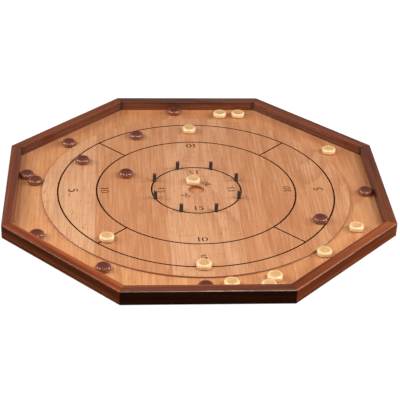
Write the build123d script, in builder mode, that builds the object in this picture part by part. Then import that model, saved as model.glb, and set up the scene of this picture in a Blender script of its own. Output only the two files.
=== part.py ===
from build123d import *
import os
from math import acos, cos, degrees, radians, sin, tan

# An eight-sided flicking-game board: a round playing board glued on an octagonal base panel,
# a rail all round it, eight sleeved pegs round a centre hole, and two sets of twelve discs.
# Origin: middle of the board, on the table. +Z up, -Y towards the front rail. Millimetres.

os.makedirs("parts", exist_ok=True)

# Rails
side_count = 8
across_flats = 832.0
rail_width = 23.0
rail_height = 31.0
outer_arris = 1.2
inner_arris = 0.7

# Felt pads under the rails
pad_diameter = 18.0
pad_thickness = 1.0
pad_count = 4

# Base panel, held in a groove round the inside of the rails
panel_lift = 3.0
panel_thickness = 6.0
groove_depth = 6.0
panel_gap = 0.4

# Loose splines that key the mitred corners together, let in from beneath
spline_thickness = 3.0
spline_width = 14.0
spline_height = 22.0
spline_setback = 7.0
spline_gap = 0.1

# Playing board and the ditch between it and the rails
ditch_width = 53.0
board_thickness = 4.0
board_arris = 0.5

# Engraved lines
line_width = 3.6
line_depth = 0.4
outer_line_margin = 35.0
outer_band = 85.0
inner_line_radius = 99.0
quadrant_count = 4

# Centre hole, through the playing board and on into the base panel
hole_diameter = 35.0
hole_pocket_depth = 2.4

# Pegs: a domed pin glued into the board, with a rubber sleeve pushed over it
peg_count = 8
peg_height = 20.0
pin_diameter = 4.8
pin_dome_height = 1.6
pin_embed = 3.5
pin_gap = 0.05
sleeve_wall = 1.7
sleeve_foot_height = 2.0
sleeve_foot_flare = 0.6

# Discs
disc_diameter = 32.0
disc_thickness = 12.0
disc_edge_radius = 4.4
disc_dish_diameter = 22.0
disc_dish_depth = 1.2
disc_gap = 0.6
hole_overhang = 2.6

# Worked out from the sizes above
outer_apothem = across_flats / 2
inner_apothem = outer_apothem - rail_width
half_turn = 180 / side_count
rail_bottom = pad_thickness
rail_top = rail_bottom + rail_height
panel_bottom = rail_bottom + panel_lift
panel_top = panel_bottom + panel_thickness
panel_apothem = inner_apothem + groove_depth - panel_gap
board_top = panel_top + board_thickness
board_radius = inner_apothem - ditch_width
outer_line_radius = board_radius - outer_line_margin
middle_line_radius = outer_line_radius - outer_band
quadrant_line_radius = (outer_line_radius + middle_line_radius) / 2
hole_radius = hole_diameter / 2
pin_radius = pin_diameter / 2
sleeve_bore_radius = pin_radius + pin_gap
sleeve_radius = sleeve_bore_radius + sleeve_wall
sleeve_top = board_top + peg_height - pin_dome_height
disc_radius = disc_diameter / 2


def finish(builder, name):
    """Labels a finished piece and writes it to its own file."""
    builder.part.label = name
    export_step(builder.part, f"parts/{name}.step")


# Rails: straight lengths with mitred ends, named by the way each one faces
rail_names = ("right", "back_right", "back", "back_left", "left", "front_left", "front", "front_right")
corner_radius = outer_apothem / cos(radians(half_turn))
spline_radius = corner_radius - spline_setback - spline_thickness / 2


def radial_plane(angle):
    """Upright plane through the board's middle: x outwards along the angle, y up."""
    outwards = (cos(radians(angle)), sin(radians(angle)), 0)
    along = (sin(radians(angle)), -cos(radians(angle)), 0)
    return Plane(origin=(0, 0, 0), x_dir=outwards, z_dir=along)


def make_rail(facing):
    """One rail whose outer face looks along the facing angle."""
    corners = (facing - half_turn, facing + half_turn)
    with BuildPart() as rail:
        with BuildSketch(radial_plane(facing)) as section:
            with Locations((inner_apothem + rail_width / 2, rail_bottom + rail_height / 2)):
                Rectangle(rail_width, rail_height)
            upper = section.vertices().group_by(Axis.Y)[-1].sort_by(Axis.X)
            chamfer(upper[-1], outer_arris)
            chamfer(upper[0], inner_arris)
            with Locations((inner_apothem + groove_depth / 2, panel_bottom + panel_thickness / 2)):
                Rectangle(groove_depth, panel_thickness, mode=Mode.SUBTRACT)
        extrude(amount=outer_apothem * tan(radians(half_turn)) + rail_width, both=True)
        split(bisect_by=radial_plane(corners[0]), keep=Keep.BOTTOM)
        split(bisect_by=radial_plane(corners[1]), keep=Keep.TOP)
        with BuildSketch(Plane.XY.offset(rail_bottom)):
            for corner in corners:
                with PolarLocations(spline_radius, 1, start_angle=corner):
                    Rectangle(spline_thickness + 2 * spline_gap, spline_width + 2 * spline_gap)
        extrude(amount=spline_height + spline_gap, mode=Mode.SUBTRACT)
    return rail


for index, direction in enumerate(rail_names):
    finish(make_rail(index * 2 * half_turn), f"rail_{direction}")

# Corner splines: one hidden tongue across each mitre
with BuildPart() as corner_splines:
    with BuildSketch(Plane.XY.offset(rail_bottom)):
        with PolarLocations(spline_radius, side_count, start_angle=half_turn):
            Rectangle(spline_thickness, spline_width)
    extrude(amount=spline_height)
finish(corner_splines, "corner_splines")

# Felt pads, in the middle of every other rail
pad_radius = inner_apothem + rail_width / 2
for index in range(pad_count):
    with BuildPart() as foot_pad:
        with BuildSketch(Plane.XY):
            with PolarLocations(pad_radius, 1, start_angle=(index + 0.5) * 360 / pad_count):
                Circle(pad_diameter / 2)
        extrude(amount=pad_thickness)
    finish(foot_pad, f"foot_pad_{index + 1}")

# Base panel: an octagon that stops just short of the bottom of its groove
with BuildPart() as base_panel:
    with BuildSketch(Plane.XY.offset(panel_bottom)):
        RegularPolygon(panel_apothem, side_count, major_radius=False, rotation=half_turn)
    extrude(amount=panel_thickness)
    with BuildSketch(Plane.XY.offset(panel_top)):
        Circle(hole_radius)
    extrude(amount=-hole_pocket_depth, mode=Mode.SUBTRACT)
    with BuildSketch(Plane.XY.offset(panel_top)):
        with PolarLocations(inner_line_radius, peg_count, start_angle=half_turn):
            Circle(pin_radius + pin_gap)
    extrude(amount=-pin_embed, mode=Mode.SUBTRACT)
finish(base_panel, "base_panel")

# Playing board: round, with the centre hole, the peg holes and the engraved lines
with BuildPart() as playing_board:
    with BuildSketch(Plane.XY.offset(panel_top)):
        Circle(board_radius)
    extrude(amount=board_thickness)
    chamfer(playing_board.edges().group_by(Axis.Z)[-1], board_arris)
    with BuildSketch(Plane.XY.offset(panel_top)):
        Circle(hole_radius)
        with PolarLocations(inner_line_radius, peg_count, start_angle=half_turn):
            Circle(pin_radius + pin_gap)
    extrude(amount=board_thickness, mode=Mode.SUBTRACT)
    with BuildSketch(Plane.XY.offset(board_top)):
        for radius in (outer_line_radius, middle_line_radius, inner_line_radius):
            Circle(radius + line_width / 2)
            Circle(radius - line_width / 2, mode=Mode.SUBTRACT)
        with PolarLocations(quadrant_line_radius, quadrant_count, start_angle=180 / quadrant_count):
            Rectangle(outer_band, line_width)
    extrude(amount=-line_depth, mode=Mode.SUBTRACT)
finish(playing_board, "playing_board")


# Pegs: pin and sleeve, standing on the inner line
def make_pin(section_plane):
    """Round pin with a domed head, glued down through the board into the panel."""
    with BuildPart() as peg_pin:
        with BuildSketch(section_plane):
            with BuildLine():
                Polyline(
                    (0, sleeve_top + pin_dome_height),
                    (0, panel_top - pin_embed),
                    (pin_radius, panel_top - pin_embed),
                    (pin_radius, sleeve_top),
                )
                TangentArc((0, sleeve_top + pin_dome_height), (pin_radius, sleeve_top), tangent=(1, 0))
            make_face()
        revolve(axis=Axis(section_plane.origin, (0, 0, 1)))
    return peg_pin


def make_sleeve(section_plane):
    """Rubber tube with a slightly flared foot, standing on the board."""
    with BuildPart() as peg_sleeve:
        with BuildSketch(section_plane):
            with BuildLine():
                Polyline(
                    (sleeve_bore_radius, board_top),
                    (sleeve_radius + sleeve_foot_flare, board_top),
                    (sleeve_radius, board_top + sleeve_foot_height),
                    (sleeve_radius, sleeve_top),
                    (sleeve_bore_radius, sleeve_top),
                    close=True,
                )
            make_face()
        revolve(axis=Axis(section_plane.origin, (0, 0, 1)))
    return peg_sleeve


for index in range(peg_count):
    peg_angle = radians(half_turn + index * 360 / peg_count)
    peg_origin = (inner_line_radius * cos(peg_angle), inner_line_radius * sin(peg_angle), 0)
    peg_plane = Plane(origin=peg_origin, x_dir=(1, 0, 0), z_dir=(0, -1, 0))
    finish(make_pin(peg_plane), f"peg_pin_{index + 1}")
    finish(make_sleeve(peg_plane), f"peg_sleeve_{index + 1}")


# Discs: turned hardwood, round-edged, slightly dished on both faces
def make_disc(x, y, underside):
    """One disc standing on the given height."""
    section_plane = Plane(origin=(x, y, underside), x_dir=(1, 0, 0), z_dir=(0, -1, 0))
    dish_radius = disc_dish_diameter / 2
    dish_floor = disc_thickness - disc_dish_depth
    middle = disc_thickness / 2
    with BuildPart() as disc:
        with BuildSketch(section_plane):
            with BuildLine():
                Line((0, middle), (0, dish_floor))
                TangentArc((0, dish_floor), (dish_radius, disc_thickness), tangent=(1, 0))
                Line((dish_radius, disc_thickness), (disc_radius, disc_thickness))
                Line((disc_radius, disc_thickness), (disc_radius, middle))
                Line((disc_radius, middle), (0, middle))
            make_face()
        revolve(axis=Axis((x, y, 0), (0, 0, 1)))
        rim = disc.edges().filter_by(GeomType.CIRCLE).group_by(Axis.Z)[-1].sort_by(SortBy.RADIUS)[-1]
        fillet(rim, disc_edge_radius)
        mirror(about=Plane.XY.offset(underside + middle))
    return disc


def ditch_radius(angle, share):
    """Distance from the middle for a disc in the ditch: share 0 by the board, 1 by the rail."""
    nearest_facing = round(angle / (2 * half_turn)) * 2 * half_turn
    closest = board_radius + disc_radius + disc_gap
    furthest = (inner_apothem - disc_radius - disc_gap) / cos(radians(angle - nearest_facing))
    return closest + share * (furthest - closest)


def beside(angle, share, next_share, gap):
    """Angle at which the next disc in the ditch, anticlockwise, clears this one by the gap."""
    first = ditch_radius(angle, share)
    second = ditch_radius(angle, next_share)
    apart = disc_diameter + gap
    return angle + degrees(acos((first**2 + second**2 - apart**2) / (2 * first * second)))


# Places: discs in play as (share of the outer line's radius, angle), and discs in the ditch
# as (angle, share of the way from board to rail)
dark_in_play = ((0.90, 117.9), (0.924, 153.9), (0.547, 158.1), (0.954, -27.5))
light_in_play = ((0.897, 90.4), (1.0, 269.6), (0.926, 225.7))
dark_in_ditch = (
    (95.2, 0.91),
    (143.3, 0.0),
    (170.1, 0.98),
    (beside(170.1, 0.98, 0.08, 1.4), 0.08),
    (-2.0, 0.96),
    (208.2, 0.87),
    (236.4, 0.45),
    (269.6, 0.97),
)
light_in_ditch = (
    (77.8, 0.40),
    (71.2, 0.57),
    (28.8, 0.26),
    (-26.0, 0.29),
    (-45.8, 0.06),
    (beside(-71.9, 0.95, 0.27, 4.6), 0.27),
    (-71.9, 0.95),
    (-82.3, 0.51),
)


def disc_places(in_play, in_ditch):
    """Centres and undersides of one set of discs."""
    places = []
    for share, angle in in_play:
        places.append((share * outer_line_radius, angle, board_top))
    for angle, share in in_ditch:
        places.append((ditch_radius(angle, share), angle, panel_top))
    return places


# One light disc lies just behind the centre hole, its edge over the hole's rim
hole_disc = (hole_radius + disc_radius - hole_overhang, 100.4, board_top)
sets = {
    "dark": disc_places(dark_in_play, dark_in_ditch),
    "light": disc_places(light_in_play, light_in_ditch) + [hole_disc],
}
for colour, places in sets.items():
    for number, (radius, angle, underside) in enumerate(places, start=1):
        x = radius * cos(radians(angle))
        y = radius * sin(radians(angle))
        finish(make_disc(x, y, underside), f"disc_{colour}_{number:02d}")
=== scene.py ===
from math import cos, pi, radians, sin, tan

import bmesh
import bpy
from mathutils import Matrix, Vector


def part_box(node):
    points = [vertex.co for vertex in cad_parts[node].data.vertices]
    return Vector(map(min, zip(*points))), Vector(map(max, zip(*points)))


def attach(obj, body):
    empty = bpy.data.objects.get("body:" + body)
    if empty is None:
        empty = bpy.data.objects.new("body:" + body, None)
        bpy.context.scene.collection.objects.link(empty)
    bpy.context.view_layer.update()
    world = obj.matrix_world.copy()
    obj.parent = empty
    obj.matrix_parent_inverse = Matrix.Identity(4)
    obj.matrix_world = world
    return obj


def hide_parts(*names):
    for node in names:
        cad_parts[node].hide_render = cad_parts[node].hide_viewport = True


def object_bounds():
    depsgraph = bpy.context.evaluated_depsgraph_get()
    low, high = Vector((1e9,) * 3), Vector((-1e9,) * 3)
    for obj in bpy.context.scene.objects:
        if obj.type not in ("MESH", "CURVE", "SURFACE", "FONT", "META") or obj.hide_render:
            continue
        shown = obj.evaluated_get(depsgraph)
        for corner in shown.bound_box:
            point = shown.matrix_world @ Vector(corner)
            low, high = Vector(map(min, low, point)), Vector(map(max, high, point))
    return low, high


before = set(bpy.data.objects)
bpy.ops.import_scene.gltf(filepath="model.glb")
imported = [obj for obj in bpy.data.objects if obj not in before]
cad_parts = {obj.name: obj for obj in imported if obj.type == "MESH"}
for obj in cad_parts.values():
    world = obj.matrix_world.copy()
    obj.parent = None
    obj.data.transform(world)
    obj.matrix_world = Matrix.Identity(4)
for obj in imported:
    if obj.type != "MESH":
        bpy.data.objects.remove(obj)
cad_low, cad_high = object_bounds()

# ---------------------------------------------------------------------------------------------
# View: a long lens looks down on the board from in front, turned a few degrees to the right.
# The table under the board is plain and white.
# ---------------------------------------------------------------------------------------------
scene = bpy.context.scene
scene.view_settings.view_transform = "Standard"

eye = Vector((-0.1855, -2.4766, 1.4805))
heading = radians(4.49)
down_angle = radians(31.01)
lean = radians(2.09)
look = Vector((sin(heading) * cos(down_angle), cos(heading) * cos(down_angle), -sin(down_angle)))
camera = bpy.data.objects.new("camera", bpy.data.cameras.new("camera"))
camera.data.sensor_width = 36.0
camera.data.lens = 117.3
camera.data.clip_end = 100.0
turned = look.to_track_quat("-Z", "Y").to_matrix().to_4x4() @ Matrix.Rotation(lean, 4, "Z")
camera.matrix_world = Matrix.Translation(eye) @ turned
scene.collection.objects.link(camera)
scene.camera = camera


def node(tree, kind, feeds=(), **settings):
    """Adds a shader node; feeds pairs an input's name or number with a value or an output."""
    made = tree.nodes.new("ShaderNode" + kind)
    for name, value in settings.items():
        setattr(made, name, value)
    for place, value in dict(feeds).items():
        if isinstance(value, bpy.types.NodeSocket):
            tree.links.new(value, made.inputs[place])
        else:
            made.inputs[place].default_value = value
    return made


def maths(tree, operation, first, second=0.0, third=0.0):
    """One sum on shader values."""
    return node(tree, "Math", {0: first, 1: second, 2: third}, operation=operation).outputs[0]


def span(tree, value, low, high, to_low=0.0, to_high=1.0):
    """Maps a stretch of values onto another, clamped."""
    feeds = {"Value": value, "From Min": low, "From Max": high, "To Min": to_low, "To Max": to_high}
    return node(tree, "MapRange", feeds).outputs[0]


def blank_material(name):
    """A material with its Principled BSDF, ready for its colours."""
    material = bpy.data.materials.new(name)
    material.use_nodes = True
    return material, material.node_tree, material.node_tree.nodes["Principled BSDF"]


table_material, tree, table_surface = blank_material("table_white")
table_surface.inputs["Base Color"].default_value = (0.35, 0.35, 0.35, 1.0)
table_surface.inputs["Roughness"].default_value = 0.9
table_surface.inputs["Specular IOR Level"].default_value = 0.0
table_surface.inputs["Emission Strength"].default_value = 1.0
# The sheet glows less round the board, where the lamps light it, and is white beyond their reach.
spot = node(tree, "NewGeometry").outputs["Position"]
away = node(tree, "VectorMath", {0: spot}, operation="LENGTH").outputs["Value"]
glow = span(tree, away, 0.45, 0.95, 0.72, 1.0)
tree.links.new(glow, table_surface.inputs["Emission Color"])
# Light that bounces off the table finds it dark, as on a small white sheet in a dim studio.
bounce = node(tree, "BsdfDiffuse", {"Color": (0.06, 0.06, 0.065, 1.0)})
seen = node(tree, "LightPath").outputs["Is Camera Ray"]
mixed = node(tree, "MixShader", {0: seen, 1: bounce.outputs[0], 2: table_surface.outputs[0]})
tree.links.new(mixed.outputs[0], tree.nodes["Material Output"].inputs["Surface"])
table_reach = 20.0
table_gap = 0.0002
table_mesh = bmesh.new()
bmesh.ops.create_grid(table_mesh, x_segments=1, y_segments=1, size=table_reach)
table = bpy.data.objects.new("table", bpy.data.meshes.new("table"))
table_mesh.to_mesh(table.data)
table_mesh.free()
table.data.materials.append(table_material)
table.location.z = -table_gap
scene.collection.objects.link(table)

# ---------------------------------------------------------------------------------------------
# Light: a soft box low on each side, a smaller one high on each side for the glints on the discs,
# and a lamp high in front. The room is pale behind the board and dark before it.
# ---------------------------------------------------------------------------------------------
world = bpy.data.worlds.new("room")
scene.world = world
world.use_nodes = True
room = world.node_tree
room_dark = 0.05
room_pale = 0.26
direction = node(room, "SeparateXYZ", {0: node(room, "TexCoord").outputs["Generated"]})
sideways = maths(room, "MULTIPLY", direction.outputs["X"], 0.45)
backwards = maths(room, "SUBTRACT", direction.outputs["Y"], sideways)
behind = node(room, "MapRange", {"Value": backwards, "From Min": -0.3, "From Max": 0.6})
behind.interpolation_type = "SMOOTHSTEP"
# The pale sheet behind the board fades out above.
fade = span(room, direction.outputs["Z"], 0.42, 0.62, 1.0, 0.3)
paleness = maths(room, "MULTIPLY", behind.outputs[0], fade)
room_level = maths(room, "MULTIPLY_ADD", paleness, room_pale, room_dark)
camera_ray = node(room, "LightPath").outputs["Is Camera Ray"]
shown_level = node(room, "Mix", {"Factor": camera_ray, "A": room_level, "B": 1.0}).outputs[0]
room.links.new(shown_level, room.nodes["Background"].inputs["Strength"])
room.nodes["Background"].inputs["Color"].default_value = (1.0, 1.0, 1.0, 1.0)


def soft_box(name, place, aim, size, watts):
    """A square area light aimed at a point on the board."""
    lamp = bpy.data.lights.new(name, "AREA")
    lamp.size = size
    lamp.energy = watts
    holder = bpy.data.objects.new(name, lamp)
    turn = (Vector(aim) - Vector(place)).to_track_quat("-Z", "Y").to_matrix().to_4x4()
    holder.matrix_world = Matrix.Translation(place) @ turn
    scene.collection.objects.link(holder)


board_middle = (0.0, 0.0, 0.0)
board_fore = (0.0, -0.05, 0.0)
soft_box("soft_box_right", (2.35, -0.05, 1.15), board_middle, size=0.8, watts=33.0)
soft_box("soft_box_left", (-2.25, 0.25, 1.25), board_middle, size=0.9, watts=33.0)
soft_box("high_box_right", (1.25, -0.70, 1.60), board_fore, size=0.55, watts=20.0)
soft_box("high_box_left", (-1.25, -0.70, 1.60), board_fore, size=0.55, watts=18.0)
soft_box("front_lamp", (0.3, -1.9, 2.2), board_middle, size=0.50, watts=17.0)


# ---------------------------------------------------------------------------------------------
# Rails: eight lengths of walnut-stained hardwood, mitred and glued round the base panel, with
# eased arrises. The grain runs along each one, so it changes direction at every joint.
# ---------------------------------------------------------------------------------------------
def new_group(name, takes, gives):
    """An empty shader group with named inputs and outputs."""
    group = bpy.data.node_groups.new(name, "ShaderNodeTree")
    for label, kind, value in takes:
        socket = group.interface.new_socket(label, in_out="INPUT", socket_type="NodeSocket" + kind)
        socket.default_value = value
    for label, kind in gives:
        group.interface.new_socket(label, in_out="OUTPUT", socket_type="NodeSocket" + kind)
    return group, group.nodes.new("NodeGroupInput"), group.nodes.new("NodeGroupOutput")


def make_wood_grain():
    """Grain that runs along X: growth rings, streaks of colour, fine fibres and short dark pores."""
    group, takes, gives = new_group(
        "wood_grain",
        (
            ("Vector", "Vector", (0.0, 0.0, 0.0)),
            ("Figure Scale", "Float", 8.0),
            ("Figure Length", "Float", 10.0),
            ("Ring Count", "Float", 6.0),
            ("Streak Scale", "Float", 120.0),
            ("Streak Length", "Float", 60.0),
            ("Fibre Scale", "Float", 600.0),
            ("Pore Scale", "Float", 900.0),
            ("Pore Length", "Float", 20.0),
        ),
        [(label, "Float") for label in ("Figure", "Streaks", "Fibre", "Pores", "Height")],
    )

    def stretched(length):
        """The grain's vector, drawn out along the grain by a length that is a number or an output."""
        share = maths(group, "DIVIDE", 1.0, length)
        factors = node(group, "CombineXYZ", {"X": share, "Y": 1.0, "Z": 1.0}).outputs[0]
        feeds = {0: takes.outputs["Vector"], 1: factors}
        return node(group, "VectorMath", feeds, operation="MULTIPLY").outputs[0]

    def noise(length, scale, detail, roughness=0.5):
        """Noise drawn out along the grain."""
        feeds = {"Vector": stretched(length), "Scale": scale, "Detail": detail, "Roughness": roughness}
        return node(group, "TexNoise", feeds).outputs[0]

    # Each ring darkens slowly towards its late wood and ends sharply.
    sweep = noise(takes.outputs["Figure Length"], takes.outputs["Figure Scale"], 1.5, 0.35)
    ring = maths(group, "FRACT", maths(group, "MULTIPLY", sweep, takes.outputs["Ring Count"]))
    late_wood = span(group, ring, 0.30, 0.90)
    ring_end = span(group, ring, 0.91, 0.99, 1.0, 0.0)
    figure = maths(group, "MULTIPLY", late_wood, ring_end)
    streaks = noise(takes.outputs["Streak Length"], takes.outputs["Streak Scale"], 2.0)
    fibre = noise(50.0, takes.outputs["Fibre Scale"], 3.0, 0.6)
    specks = noise(takes.outputs["Pore Length"], takes.outputs["Pore Scale"], 1.0)
    pores = span(group, specks, 0.66, 0.76)
    height = maths(group, "SUBTRACT", maths(group, "MULTIPLY", fibre, 0.5), pores)
    outputs = {"Figure": figure, "Streaks": streaks, "Fibre": fibre, "Pores": pores, "Height": height}
    for label, output in outputs.items():
        group.links.new(output, gives.inputs[label])
    return group


wood_grain = make_wood_grain()


def grain_nodes(tree, vector, **levels):
    """Places the wood grain in a material and returns its outputs."""
    made = node(tree, "Group", node_tree=wood_grain)
    tree.links.new(vector, made.inputs["Vector"])
    for label, value in levels.items():
        made.inputs[label.replace("_", " ").title()].default_value = value
    return made.outputs


def tint(tree, share, first, second, blend_type="MIX"):
    """Mixes two colours by a share; either may be a value or an output."""
    made = node(tree, "Mix", data_type="RGBA", blend_type=blend_type)
    for place, value in (("Factor", share), ("A", first), ("B", second)):
        socket = next(s for s in made.inputs if s.enabled and s.name == place)
        if isinstance(value, bpy.types.NodeSocket):
            tree.links.new(value, socket)
        else:
            socket.default_value = value if place == "Factor" else (*value, 1.0)
    return next(s for s in made.outputs if s.enabled)


def relief(tree, surface, height, strength, distance):
    """Raises fine relief on a surface, by a height that varies over it."""
    bump = node(tree, "Bump", {"Height": height, "Strength": strength, "Distance": distance})
    tree.links.new(bump.outputs[0], surface.inputs["Normal"])


mitre_angle = radians(22.5)
rail_width = 0.023
outer_apothem = cad_high.x
inner_apothem = outer_apothem - rail_width
rail_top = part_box("rail_right")[1].z
outer_arris = 0.0012
inner_arris = 0.0007
outer_face_polish = 0.10
# The way that each rail faces, and how it was finished: the tone on its top and on its
# outer face, where 1 is the usual tone and less is darker, and the polish of its lacquer. The
# tones are painted light and shade, each face lighter or darker for how the light falls on it,
# and the front rail's outer face is painted nearly black for the shade on it.
rails = {
    "right": (0, 0.85, 0.85, 0.42),
    "back_right": (45, 1.22, 0.90, 0.45),
    "back": (90, 0.80, 0.85, 0.85),
    "back_left": (135, 0.92, 0.85, 0.25),
    "left": (180, 1.12, 0.85, 0.60),
    "front_left": (225, 1.78, 0.90, 0.12),
    "front": (270, 0.98, 0.36, 0.75),
    "front_right": (315, 1.45, 1.35, 0.14),
}


def rail_material(name, facing, tone, outer_face_lit_tone, polish):
    """Walnut stain over hardwood, for a rail whose outer face looks along the facing angle."""
    material, tree, wood = blank_material(f"rail_walnut_{name}")
    place = node(tree, "TexCoord").outputs["Object"]
    turn = (0.0, 0.0, radians(90 - facing))
    along = node(tree, "Mapping", {"Vector": place, "Rotation": turn}).outputs[0]
    # Each rail comes from another part of the plank.
    plank_shift = (facing * 0.013, 0.0, facing * 0.007)
    cut = node(tree, "Mapping", {"Vector": along, "Location": plank_shift}).outputs[0]
    grain = grain_nodes(
        tree, cut, figure_scale=26.0, figure_length=22.0, ring_count=3.0, streak_scale=120.0,
        fibre_scale=520.0, pore_scale=1100.0, pore_length=24.0,
    )
    orange, body, dark = [
        [tone * level for level in colour]
        for colour in ((0.255, 0.066, 0.020), (0.152, 0.031, 0.0105), (0.048, 0.0090, 0.0038))
    ]
    streaked = tint(tree, span(tree, grain["Streaks"], 0.42, 0.60), body, orange)
    figured = tint(tree, maths(tree, "MULTIPLY", grain["Figure"], 0.65), streaked, dark)
    fibred = tint(tree, span(tree, grain["Fibre"], 0.42, 0.68, 0.0, 0.60), figured, dark)
    pored = tint(tree, maths(tree, "MULTIPLY", grain["Pores"], 0.7), fibred, (0.012, 0.004, 0.002))
    axes = node(tree, "SeparateXYZ", {0: along})
    inwards = maths(tree, "SUBTRACT", inner_apothem, axes.outputs["Y"])
    outwards = maths(tree, "SUBTRACT", axes.outputs["Y"], outer_apothem)
    upwards = maths(tree, "SUBTRACT", axes.outputs["Z"], rail_top)
    on_outer_face = span(tree, outwards, -0.0008, -0.0002)
    # Painted light and shade: the outer face takes its own tone, lighter or darker for the light that
    # falls on it.
    outer_face_light_and_shade = tint(tree, on_outer_face, (1.0, 1.0, 1.0), [outer_face_lit_tone / tone] * 3)
    stained = tint(tree, 1.0, pored, outer_face_light_and_shade, "MULTIPLY")
    # The stain is rubbed thin along both arrises, and the paler colour there is also a painted highlight
    # on the edges.
    outer_edge = maths(tree, "ADD", outwards, upwards)
    outer_arris_worn_lit = span(tree, outer_edge, -outer_arris - 0.0004, -outer_arris + 0.0002)
    inner_edge = maths(tree, "ADD", inwards, upwards)
    inner_arris_worn_lit = span(tree, inner_edge, -inner_arris - 0.0003, -inner_arris + 0.0002)
    worn_and_highlit = maths(tree, "MULTIPLY", maths(tree, "MAXIMUM", outer_arris_worn_lit, inner_arris_worn_lit), 0.22)
    rubbed_and_highlit = tint(tree, worn_and_highlit, stained, (0.40, 0.17, 0.085))
    # A hairline of dark glue shows where two rails meet, and painted shade darkens the inner face near
    # the corner.
    reach = maths(tree, "ABSOLUTE", axes.outputs["X"])
    half_length = maths(tree, "MULTIPLY", axes.outputs["Y"], tan(mitre_angle))
    short_of = maths(tree, "SUBTRACT", half_length, reach)
    joint = span(tree, short_of, 0.0002, 0.0006, 0.85, 0.0)
    corner_shade_reach = span(tree, short_of, 0.001, 0.009, 0.85, 0.0)
    on_inner_face = span(tree, inwards, -0.0010, -0.0004)
    corner_shade = maths(tree, "MULTIPLY", corner_shade_reach, on_inner_face)
    jointed_and_shaded = tint(tree, maths(tree, "MAXIMUM", joint, corner_shade), rubbed_and_highlit, (0.010, 0.003, 0.002))
    tree.links.new(jointed_and_shaded, wood.inputs["Base Color"])
    tree.links.new(span(tree, grain["Fibre"], 0.3, 0.7, 0.24, 0.36), wood.inputs["Roughness"])
    duller = maths(tree, "MULTIPLY_ADD", on_outer_face, outer_face_polish - polish, polish)
    tree.links.new(duller, wood.inputs["Specular IOR Level"])
    relief(tree, wood, grain["Height"], 0.25, 0.0002)
    return material


def dress(name, material):
    """Gives a CAD node its material."""
    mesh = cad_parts[name].data
    mesh.materials.clear()
    mesh.materials.append(material)


for name, finish in rails.items():
    dress(f"rail_{name}", rail_material(name, *finish))


# ---------------------------------------------------------------------------------------------
# Corner splines: pale hardwood tongues, let into the mitres from beneath and left unstained.
# Their lower edges show only on the underside.
# ---------------------------------------------------------------------------------------------
def upright_grain(tree, **levels):
    """Wood grain that runs up and down."""
    place = node(tree, "TexCoord").outputs["Object"]
    turned = node(tree, "Mapping", {"Vector": place, "Rotation": (0.0, radians(90), 0.0)}).outputs[0]
    return grain_nodes(tree, turned, **levels)


spline_material, tree, spline_wood = blank_material("spline_bare_wood")
grain = upright_grain(tree, figure_scale=60.0, fibre_scale=900.0)
pale = tint(tree, grain["Figure"], (0.46, 0.29, 0.15), (0.36, 0.21, 0.10))
tree.links.new(tint(tree, grain["Pores"], pale, (0.2, 0.1, 0.05)), spline_wood.inputs["Base Color"])
tree.links.new(span(tree, grain["Fibre"], 0.3, 0.7, 0.6, 0.8), spline_wood.inputs["Roughness"])
dress("corner_splines", spline_material)

# ---------------------------------------------------------------------------------------------
# Felt pads: four black pressed-felt discs stuck under the rails, so the board doesn't mark a
# table. The fibres are matted and slightly fuzzy.
# ---------------------------------------------------------------------------------------------
felt_material, tree, felt = blank_material("pad_black_felt")
place = node(tree, "TexCoord").outputs["Object"]
feeds = {"Vector": place, "Scale": 1800.0, "Detail": 4.0, "Roughness": 0.7}
fluff = node(tree, "TexNoise", feeds).outputs[0]
felt_colour = tint(tree, span(tree, fluff, 0.35, 0.7), (0.016, 0.016, 0.017), (0.05, 0.05, 0.052))
tree.links.new(felt_colour, felt.inputs["Base Color"])
felt.inputs["Roughness"].default_value = 0.95
felt.inputs["Sheen Weight"].default_value = 0.3
relief(tree, felt, fluff, 0.8, 0.0003)
pad_count = 4
for number in range(1, pad_count + 1):
    dress(f"foot_pad_{number}", felt_material)


# ---------------------------------------------------------------------------------------------
# Base panel and playing board: veneered panels, the leaves of veneer laid side by side with
# their grain running from front to back. The board's edge and the wall of the hole are stained.
# ---------------------------------------------------------------------------------------------
def make_veneer_leaves():
    """Leaves laid side by side along X: a vector shifted for each leaf, and the seams between."""
    group, takes, gives = new_group(
        "veneer_leaves",
        (("Vector", "Vector", (0.0, 0.0, 0.0)), ("Leaf Width", "Float", 0.12), ("Offset", "Float", 0.0)),
        (("Vector", "Vector"), ("Seam", "Float")),
    )
    axes = node(group, "SeparateXYZ", {0: takes.outputs["Vector"]})
    shifted = maths(group, "ADD", axes.outputs["X"], takes.outputs["Offset"])
    leaves = maths(group, "DIVIDE", shifted, takes.outputs["Leaf Width"])
    leaf = maths(group, "FLOOR", leaves)
    chance = node(group, "TexWhiteNoise", {"W": leaf}, noise_dimensions="1D").outputs["Color"]
    across = maths(group, "FRACT", leaves)
    edge = maths(group, "ABSOLUTE", maths(group, "SUBTRACT", across, 0.5))
    seam = span(group, edge, 0.494, 0.4995)
    slide = node(group, "VectorMath", {0: chance, 1: (0.7, 1.3, 0.9)}, operation="MULTIPLY").outputs[0]
    moved = node(group, "VectorMath", {0: takes.outputs["Vector"], 1: slide}, operation="ADD")
    group.links.new(moved.outputs[0], gives.inputs["Vector"])
    group.links.new(seam, gives.inputs["Seam"])
    return group


veneer_leaves = make_veneer_leaves()
half_seam = 0.0005
board_low, board_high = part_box("playing_board")
board_top = board_high.z
board_radius = board_high.x
hole_radius = 0.0175
pocket_depth = 0.0024
arris = 0.0005


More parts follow.
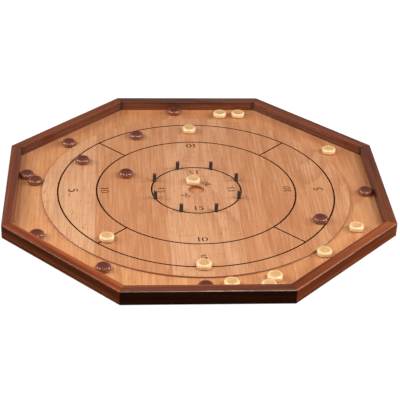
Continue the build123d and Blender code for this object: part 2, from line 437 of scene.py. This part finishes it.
def veneer_material(name, leaf_width, offset, leaf_steps, colours, cut_radius, cut_from, cut_side):
    """Warm tan veneer; the round cut through it, on one side of a radius, is stained mid brown."""
    material, tree, wood = blank_material(name)
    place = node(tree, "TexCoord").outputs["Object"]
    leaves = node(tree, "Group", node_tree=veneer_leaves)
    tree.links.new(place, leaves.inputs["Vector"])
    leaves.inputs["Leaf Width"].default_value = leaf_width
    leaves.inputs["Offset"].default_value = offset
    from_leaf = leaves.outputs["Vector"]
    turn = (0.0, 0.0, radians(90))
    turned = node(tree, "Mapping", {"Vector": from_leaf, "Rotation": turn}).outputs[0]
    grain = grain_nodes(
        tree, turned, figure_scale=6.5, figure_length=4.5, ring_count=9.0, streak_scale=230.0,
        streak_length=26.0, fibre_scale=820.0, pore_scale=560.0, pore_length=12.0,
    )
    light, mid, dark, pale = colours
    axes = node(tree, "SeparateXYZ", {0: place})
    # Each seam steps the tone between two leaves up or down.
    tone = 0.0
    for seam_at, step in leaf_steps:
        stepped = span(tree, axes.outputs["X"], seam_at - half_seam, seam_at + half_seam, 0.0, step)
        tone = maths(tree, "ADD", stepped, tone)
    leaf_tone = tint(tree, tone, light, mid)
    cloud = node(tree, "TexNoise", {"Vector": place, "Scale": 6.0, "Detail": 3.0}).outputs[0]
    clouded = tint(tree, span(tree, cloud, 0.42, 0.68, 0.0, 0.40), leaf_tone, mid)
    # Painted shade: the veneer is darker towards the back rail.
    back_shaded = tint(tree, span(tree, axes.outputs["Y"], 0.02, 0.38, 0.0, 0.55), clouded, mid)
    # The rings show most in the leaves towards the right, which were cut nearer the bark.
    near_bark = span(tree, axes.outputs["X"], -0.30, 0.25, 0.12, 0.50)
    figured = tint(tree, maths(tree, "MULTIPLY", grain["Figure"], near_bark), back_shaded, dark)
    streaked = tint(tree, span(tree, grain["Streaks"], 0.46, 0.70, 0.0, 0.32), figured, dark)
    paled = tint(tree, span(tree, grain["Streaks"], 0.48, 0.30, 0.0, 0.38), streaked, pale)
    # Short ripples of curly grain lie across the fibres here and there.
    squeezed = node(tree, "Mapping", {"Vector": from_leaf, "Scale": (0.22, 1.0, 1.0)}).outputs[0]
    curl = node(tree, "TexNoise", {"Vector": squeezed, "Scale": 85.0, "Detail": 2.0}).outputs[0]
    rippled = tint(tree, span(tree, curl, 0.58, 0.74, 0.0, 0.45), paled, (0.55, 0.185, 0.058))
    fibred = tint(tree, span(tree, grain["Fibre"], 0.44, 0.66, 0.0, 0.42), rippled, dark)
    pored = tint(tree, maths(tree, "MULTIPLY", grain["Pores"], 0.68), fibred, (0.20, 0.060, 0.021))
    seamed = tint(tree, maths(tree, "MULTIPLY", leaves.outputs["Seam"], 0.35), pored, (0.26, 0.09, 0.036))
    # The stained cut: the wall left by the round cuts, down to where it meets the next surface.
    flat = node(tree, "VectorMath", {0: place, 1: (1.0, 1.0, 0.0)}, operation="MULTIPLY").outputs[0]
    radius = node(tree, "VectorMath", {0: flat}, operation="LENGTH").outputs["Value"]
    stained = None
    for at, side in zip(cut_radius, cut_side):
        on_cut = span(tree, radius, at - side * 0.0001, at - side * 0.0004, 1.0, 0.0)
        stained = on_cut if stained is None else maths(tree, "MAXIMUM", stained, on_cut)
    off_floor = span(tree, axes.outputs["Z"], cut_from, cut_from + 0.0002)
    stain = maths(tree, "MULTIPLY", maths(tree, "MULTIPLY", stained, off_floor), 0.92)
    edged = tint(tree, stain, seamed, (0.30, 0.105, 0.040))
    tree.links.new(edged, wood.inputs["Base Color"])
    tree.links.new(span(tree, grain["Fibre"], 0.3, 0.7, 0.26, 0.36), wood.inputs["Roughness"])
    wood.inputs["Specular IOR Level"].default_value = 0.5
    relief(tree, wood, grain["Height"], 0.12, 0.0001)
    return material


# A cut at a radius is stained outwards of it at the board's edge, and inwards of it in the hole.
pocket_floor = board_low.z - pocket_depth
board_veneer = veneer_material(
    "board_veneer",
    leaf_width=0.155,
    offset=0.067,
    leaf_steps=((-0.222, 0.90), (-0.067, -0.65), (0.088, 0.60), (0.243, -0.25)),
    colours=((0.690, 0.375, 0.200), (0.540, 0.228, 0.095), (0.370, 0.120, 0.043), (0.710, 0.400, 0.215)),
    cut_radius=(board_radius - arris, hole_radius),
    cut_from=0.0,
    cut_side=(1, -1),
)
dress("playing_board", board_veneer)
ditch_veneer = veneer_material(
    "ditch_veneer",
    leaf_width=0.21,
    offset=0.03,
    leaf_steps=((-0.24, -0.10), (-0.03, 0.35), (0.18, -0.30), (0.39, 0.30)),
    colours=((0.665, 0.308, 0.130), (0.530, 0.207, 0.074), (0.360, 0.106, 0.032), (0.710, 0.370, 0.175)),
    cut_radius=(hole_radius,),
    cut_from=pocket_floor,
    cut_side=(-1,),
)
dress("base_panel", ditch_veneer)

# ---------------------------------------------------------------------------------------------
# Lines: three rings and four quadrant lines, cut into the playing board and filled with a
# dark brown paint that sits a little below the veneer.
# ---------------------------------------------------------------------------------------------
line_radii = {"outer": board_radius - 0.035, "middle": board_radius - 0.120, "inner": 0.099}
line_width = 0.0036
groove_depth = 0.0004
paint_depth = 0.0001

ink_material, tree, ink = blank_material("line_paint")
place = node(tree, "TexCoord").outputs["Object"]
mottle = node(tree, "TexNoise", {"Vector": place, "Scale": 300.0, "Detail": 3.0}).outputs[0]
ink_colour = tint(tree, span(tree, mottle, 0.3, 0.7), (0.012, 0.003, 0.0015), (0.026, 0.007, 0.003))
tree.links.new(ink_colour, ink.inputs["Base Color"])
tree.links.new(span(tree, mottle, 0.3, 0.7, 0.50, 0.65), ink.inputs["Roughness"])
ink.inputs["Specular IOR Level"].default_value = 0.04


def finished(name, form, material, body):
    """Turns a bmesh into a piece that rides on a body and takes its finish from a slot."""
    mesh = bpy.data.meshes.new(name)
    form.to_mesh(mesh)
    form.free()
    mesh.materials.append(material)
    piece = bpy.data.objects.new(name, mesh)
    scene.collection.objects.link(piece)
    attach(piece, body)
    return piece


def close_loop(form, corners):
    """Joins a ring of corners into a closed outline and returns its points and edges."""
    points = [form.verts.new(corner) for corner in corners]
    edges = [form.edges.new((points[i - 1], points[i])) for i in range(len(points))]
    return points, edges


line_low = board_top - groove_depth
line_high = board_top - paint_depth
ring_steps = 240
for name, radius in line_radii.items():
    form = bmesh.new()
    inside = radius - line_width / 2
    outside = radius + line_width / 2
    section = (
        (inside, 0, line_low),
        (outside, 0, line_low),
        (outside, 0, line_high),
        (inside, 0, line_high),
    )
    points, edges = close_loop(form, section)
    bmesh.ops.spin(
        form, geom=points + edges, axis=(0, 0, 1), angle=2 * pi, steps=ring_steps, use_merge=True
    )
    bmesh.ops.recalc_face_normals(form, faces=form.faces)
    finished(f"line_{name}", form, ink_material, "board")

quadrant_middle = (line_radii["outer"] + line_radii["middle"]) / 2
quadrant_length = line_radii["outer"] - line_radii["middle"] - line_width
quadrant_count = 4
for number in range(quadrant_count):
    form = bmesh.new()
    size = Matrix.Diagonal((quadrant_length, line_width, line_high - line_low, 1.0))
    put = Matrix.Translation((quadrant_middle, 0.0, (line_high + line_low) / 2))
    bmesh.ops.create_cube(form, size=1.0, matrix=put @ size)
    bmesh.ops.rotate(form, verts=form.verts, matrix=Matrix.Rotation(radians(45 + 90 * number), 3, "Z"))
    finished(f"line_quadrant_{number + 1}", form, ink_material, "board")

# ---------------------------------------------------------------------------------------------
# Numerals: plain scores printed in the same brown, each set to be read from its own side. The
# figures are drawn as pen strokes, thick on the downstrokes and thin on the turns.
# ---------------------------------------------------------------------------------------------
# Each stroke is (closed, curved, points), and a point is (across, up, half the pen's width),
# all as shares of the figure's height.
figures = {
    "0": (
        (True, True, (
            (0.29, 0.50, 0.090), (0.21, 0.81, 0.060), (0.0, 0.96, 0.030), (-0.21, 0.81, 0.060),
            (-0.29, 0.50, 0.090), (-0.21, 0.19, 0.060), (0.0, 0.04, 0.030), (0.21, 0.19, 0.060),
        )),
    ),
    "1": (
        (False, False, ((0.0, 0.03, 0.085), (0.0, 0.95, 0.085))),
        (False, False, ((-0.20, 0.03, 0.032), (0.20, 0.03, 0.032))),
        (False, True, ((-0.20, 0.80, 0.028), (-0.10, 0.84, 0.036), (-0.02, 0.93, 0.060))),
    ),
    "2": (
        (False, True, (
            (-0.22, 0.74, 0.075), (-0.16, 0.90, 0.040), (0.02, 0.96, 0.040), (0.22, 0.80, 0.085),
            (0.17, 0.57, 0.075), (-0.02, 0.33, 0.048), (-0.24, 0.07, 0.032),
        )),
        (False, False, ((-0.24, 0.07, 0.065), (0.24, 0.07, 0.070))),
        (False, False, ((0.24, 0.07, 0.055), (0.30, 0.25, 0.024))),
    ),
    "5": (
        (False, False, ((-0.17, 0.91, 0.060), (0.16, 0.91, 0.060), (0.26, 0.98, 0.040))),
        (False, False, ((-0.18, 0.92, 0.034), (-0.22, 0.52, 0.030))),
        (False, True, (
            (-0.22, 0.52, 0.028), (-0.02, 0.62, 0.045), (0.20, 0.50, 0.075), (0.26, 0.30, 0.092),
            (0.14, 0.09, 0.062), (-0.07, 0.03, 0.034), (-0.22, 0.13, 0.070),
        )),
    ),
}
figure_spacing = 0.74
widest_pen = 0.09
print_thickness = 0.00005


def pen_strokes(text):
    """The strokes of a number as one mesh, a figure's height tall, centred on the origin."""
    curve = bpy.data.curves.new("strokes", "CURVE")
    curve.dimensions = "3D"
    curve.bevel_depth = 1.0
    curve.bevel_resolution = 2
    curve.resolution_u = 5
    curve.use_fill_caps = True
    for place, digit in enumerate(text):
        shift = (place - (len(text) - 1) / 2) * figure_spacing
        for closed, curved, points in figures[digit]:
            spline = curve.splines.new("BEZIER")
            spline.bezier_points.add(len(points) - 1)
            spline.use_cyclic_u = closed
            for knot, (across, up, pen) in zip(spline.bezier_points, points):
                knot.co = (across + shift, up - 0.5, 0.0)
                knot.radius = pen
                knot.handle_left_type = knot.handle_right_type = "AUTO" if curved else "VECTOR"
    drawn = bpy.data.objects.new("strokes", curve)
    mesh = bpy.data.meshes.new_from_object(drawn)
    bpy.data.objects.remove(drawn)
    bpy.data.curves.remove(curve)
    return mesh


def print_number(name, text, radius, side, figure_height):
    """Prints a number on the board, its foot towards the side given in degrees."""
    form = bmesh.new()
    strokes = pen_strokes(text)
    form.from_mesh(strokes)
    bpy.data.meshes.remove(strokes)
    thinness = print_thickness / (widest_pen * figure_height)
    size = Matrix.Diagonal((figure_height, figure_height, figure_height * thinness, 1.0))
    turn = Matrix.Rotation(radians(side + 90), 4, "Z")
    put = Matrix.Translation((radius * cos(radians(side)), radius * sin(radians(side)), board_top))
    bmesh.ops.transform(form, matrix=put @ turn @ size, verts=form.verts)
    finished(name, form, ink_material, "board")


# Each score's distance from the middle of the board, and its figures' height.
scores = {"5": (0.2715, 0.0215), "10": (0.2020, 0.0170), "15": (0.0775, 0.0155)}
sides = {"right": 0, "back": 90, "left": 180, "front": 270}
for side, angle in sides.items():
    for score, (radius, height) in scores.items():
        print_number(f"numeral_{score}_{side}", score, radius, angle, height)
for corner, angle in (("back_right", 45), ("front_left", 225)):
    print_number(f"numeral_20_{corner}", "20", 0.034, angle, 0.0140)


# ---------------------------------------------------------------------------------------------
# Pegs: a dark lacquered pin with a domed head, standing in a black rubber sleeve that has a
# rolled lip at the top and a slightly spread foot. Eight stand on the inner line.
# ---------------------------------------------------------------------------------------------
def rounded(form, geometry, rounding, segments):
    """Rounds the corners of an outline."""
    bmesh.ops.bevel(
        form, geom=geometry, offset=rounding, offset_type="OFFSET", segments=segments, profile=0.5,
        affect="VERTICES", material=-1,
    )


def spun(form, centre, steps):
    """Spins an outline round an upright axis and puts the smooth shape in its place."""
    outline = form.verts[:] + form.edges[:]
    bmesh.ops.spin(form, geom=outline, axis=(0, 0, 1), angle=2 * pi, steps=steps, use_merge=True)
    bmesh.ops.remove_doubles(form, verts=form.verts, dist=1e-6)
    bmesh.ops.recalc_face_normals(form, faces=form.faces)
    bmesh.ops.translate(form, verts=form.verts, vec=centre)
    for face in form.faces:
        face.smooth = True


def turned_form(profile, rounding, centre, steps):
    """A turned solid from an outline of (radius, height) points, its corners rounded."""
    form = bmesh.new()
    points = [form.verts.new((radius, 0.0, height)) for radius, height in profile]
    edges = [form.edges.new(pair) for pair in zip(points, points[1:])]
    rounded(form, points[1:-1] + edges, rounding, 5)
    spun(form, centre, steps)
    return form


def middle_of(name):
    """The foot of a CAD node's upright axis."""
    low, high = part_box(name)
    return Vector(((low.x + high.x) / 2, (low.y + high.y) / 2, 0.0))


rubber_material, tree, rubber = blank_material("peg_black_rubber")
place = node(tree, "TexCoord").outputs["Object"]
scuff = node(tree, "TexNoise", {"Vector": place, "Scale": 900.0, "Detail": 3.0}).outputs[0]
rubber_colour = tint(tree, span(tree, scuff, 0.35, 0.7), (0.026, 0.017, 0.014), (0.056, 0.040, 0.034))
tree.links.new(rubber_colour, rubber.inputs["Base Color"])
tree.links.new(span(tree, scuff, 0.3, 0.7, 0.38, 0.55), rubber.inputs["Roughness"])
relief(tree, rubber, scuff, 0.3, 0.0001)

pin_material, tree, pin_wood = blank_material("peg_lacquered_pin")
grain = upright_grain(tree, figure_scale=120.0, fibre_scale=1500.0)
pin_colour = tint(tree, grain["Figure"], (0.19, 0.062, 0.038), (0.10, 0.030, 0.018))
tree.links.new(pin_colour, pin_wood.inputs["Base Color"])
tree.links.new(span(tree, grain["Fibre"], 0.3, 0.7, 0.18, 0.30), pin_wood.inputs["Roughness"])
pin_wood.inputs["Coat Weight"].default_value = 0.6
pin_wood.inputs["Coat Roughness"].default_value = 0.12

peg_count = 8
peg_steps = 32
pin_rounding = 0.0003
sleeve_rounding = 0.00035
foot_spread = 0.0006
foot_height = 0.0006
foot_slope_top = 0.0022
lip_foot = 0.0016
lip_height = 0.0009
waist_share = 0.985
bore_gap = 0.00005
for number in range(1, peg_count + 1):
    pin_low, pin_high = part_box(f"peg_pin_{number}")
    sleeve_low, sleeve_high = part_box(f"peg_sleeve_{number}")
    pin_radius = (pin_high.x - pin_low.x) / 2
    bore_radius = pin_radius + bore_gap
    foot_radius = (sleeve_high.x - sleeve_low.x) / 2
    sleeve_radius = foot_radius - foot_spread
    lip = sleeve_high.z
    dome = pin_high.z - lip
    pin_profile = (
        (0.0, pin_low.z),
        (pin_radius, pin_low.z),
        (pin_radius, lip),
        (pin_radius * 0.88, lip + dome * 0.55),
        (pin_radius * 0.50, lip + dome * 0.92),
        (0.0, pin_high.z),
    )
    form = turned_form(pin_profile, pin_rounding, middle_of(f"peg_pin_{number}"), peg_steps)
    piece = finished(f"pin_{number}", form, pin_material, "board")
    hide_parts(f"peg_pin_{number}")
    sleeve_profile = (
        (bore_radius, sleeve_low.z),
        (foot_radius, sleeve_low.z),
        (foot_radius, sleeve_low.z + foot_height),
        (sleeve_radius, sleeve_low.z + foot_slope_top),
        (sleeve_radius * waist_share, lip - lip_foot),
        (sleeve_radius, lip - lip_height),
        (sleeve_radius, lip),
        (bore_radius, lip),
    )
    form = bmesh.new()
    points, _ = close_loop(form, [(radius, 0.0, height) for radius, height in sleeve_profile])
    # The corners from the spread foot to the lip are rounded, and the bore's are left sharp.
    rounded(form, points[2:7], sleeve_rounding, 3)
    spun(form, middle_of(f"peg_sleeve_{number}"), peg_steps)
    piece = finished(f"sleeve_{number}", form, rubber_material, "board")
    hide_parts(f"peg_sleeve_{number}")


# ---------------------------------------------------------------------------------------------
# Discs: turned hardwood with a full round edge and a shallow dish in each face, twelve stained
# dark and twelve left natural, all under a clear gloss lacquer.
# ---------------------------------------------------------------------------------------------
def disc_material(name, turn, coat, shoulder, light, dark, pore):
    """Lacquered hardwood, its grain turned by an angle: duller in the dish, with painted shade in the
    dish and a painted highlight on the shoulder.
    """
    material, tree, wood = blank_material(name)
    place = node(tree, "TexCoord").outputs["Object"]
    way = (0.0, 0.0, radians(turn))
    turned = node(tree, "Mapping", {"Vector": place, "Rotation": way}).outputs[0]
    grain = grain_nodes(
        tree, turned, figure_scale=45.0, figure_length=5.0, ring_count=4.0, streak_scale=420.0,
        fibre_scale=1400.0, pore_scale=1500.0, pore_length=8.0,
    )
    figured = tint(tree, maths(tree, "MULTIPLY", grain["Figure"], 0.45), light, dark)
    streaked = tint(tree, span(tree, grain["Streaks"], 0.42, 0.66, 0.0, 0.6), figured, dark)
    pored = tint(tree, maths(tree, "MULTIPLY", grain["Pores"], 0.6), streaked, pore)
    # How far a point is from the disc's axis, as a share of its radius.
    from_axis = node(tree, "Attribute", attribute_name="from_axis").outputs["Fac"]
    # Painted highlight: the shoulder is paler, where it catches the lamps.
    paled = tint(tree, span(tree, from_axis, 0.68, 0.86, 0.0, 0.65), pored, shoulder)
    # Painted shade: the dish is mixed towards the dark wood's colour.
    dish_shaded = tint(tree, span(tree, from_axis, 0.52, 0.72, 0.60, 0.0), paled, dark)
    tree.links.new(dish_shaded, wood.inputs["Base Color"])
    tree.links.new(span(tree, grain["Fibre"], 0.3, 0.7, 0.30, 0.42), wood.inputs["Roughness"])
    wood.inputs["Specular IOR Level"].default_value = 0.1
    tree.links.new(span(tree, from_axis, 0.62, 0.72, 0.35 * coat, coat), wood.inputs["Coat Weight"])
    wood.inputs["Coat IOR"].default_value = 1.7
    wood.inputs["Coat Roughness"].default_value = 0.16
    relief(tree, wood, grain["Height"], 0.12, 0.0001)
    return material


grain_turns = (12, 57, 101, 149)
# Each wood's coat of lacquer, and its colours: the shoulder's painted highlight, the light and dark wood
# (the dark also paints the shade in the dish), the pores.
disc_colours = {
    "dark": (
        1.0,
        (0.265, 0.072, 0.031),
        (0.165, 0.040, 0.020),
        (0.092, 0.021, 0.012),
        (0.020, 0.005, 0.003),
    ),
    "light": (
        0.6,
        (0.980, 0.720, 0.415),
        (0.810, 0.515, 0.235),
        (0.500, 0.275, 0.105),
        (0.360, 0.170, 0.055),
    ),
}
disc_finishes = {
    colour: [disc_material(f"disc_{colour}_{turn}", turn, *colours) for turn in grain_turns]
    for colour, colours in disc_colours.items()
}
discs_a_side = 12
dish_depth = 0.0012
# The dish from its middle to its rim: shares of the disc's radius and of the dish's depth.
dish_curve = ((0.0, 1.0), (0.34, 0.95), (0.55, 0.60), (0.69, 0.0))
shoulder_start = 0.72
shoulder_fall = 0.36
shoulder_steps = 6
disc_rounding = 0.0002
disc_steps = 72
for colour, finishes in disc_finishes.items():
    for number in range(1, discs_a_side + 1):
        cad_name = f"disc_{colour}_{number:02d}"
        low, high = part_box(cad_name)
        reach = (high.x - low.x) / 2
        thick = high.z - low.z
        half = [(across * reach, high.z - down * dish_depth) for across, down in dish_curve]
        # The shoulder is a quarter of an ellipse, from the crest round the dish to the upright side.
        for step in range(shoulder_steps + 1):
            slope = radians(90 * step / shoulder_steps)
            radius = reach * (shoulder_start + (1 - shoulder_start) * sin(slope))
            half.append((radius, high.z - shoulder_fall * thick * (1 - cos(slope))))
        other_half = [(radius, low.z + high.z - height) for radius, height in reversed(half)]
        middle = middle_of(cad_name)
        form = turned_form((*half, *other_half), disc_rounding, middle, disc_steps)
        from_axis = form.verts.layers.float.new("from_axis")
        for vert in form.verts:
            vert[from_axis] = (vert.co.xy - middle.xy).length / reach
        finish = finishes[number % len(finishes)]
        piece = finished(f"disc_{colour}_piece_{number}", form, finish, cad_name)
        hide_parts(cad_name)
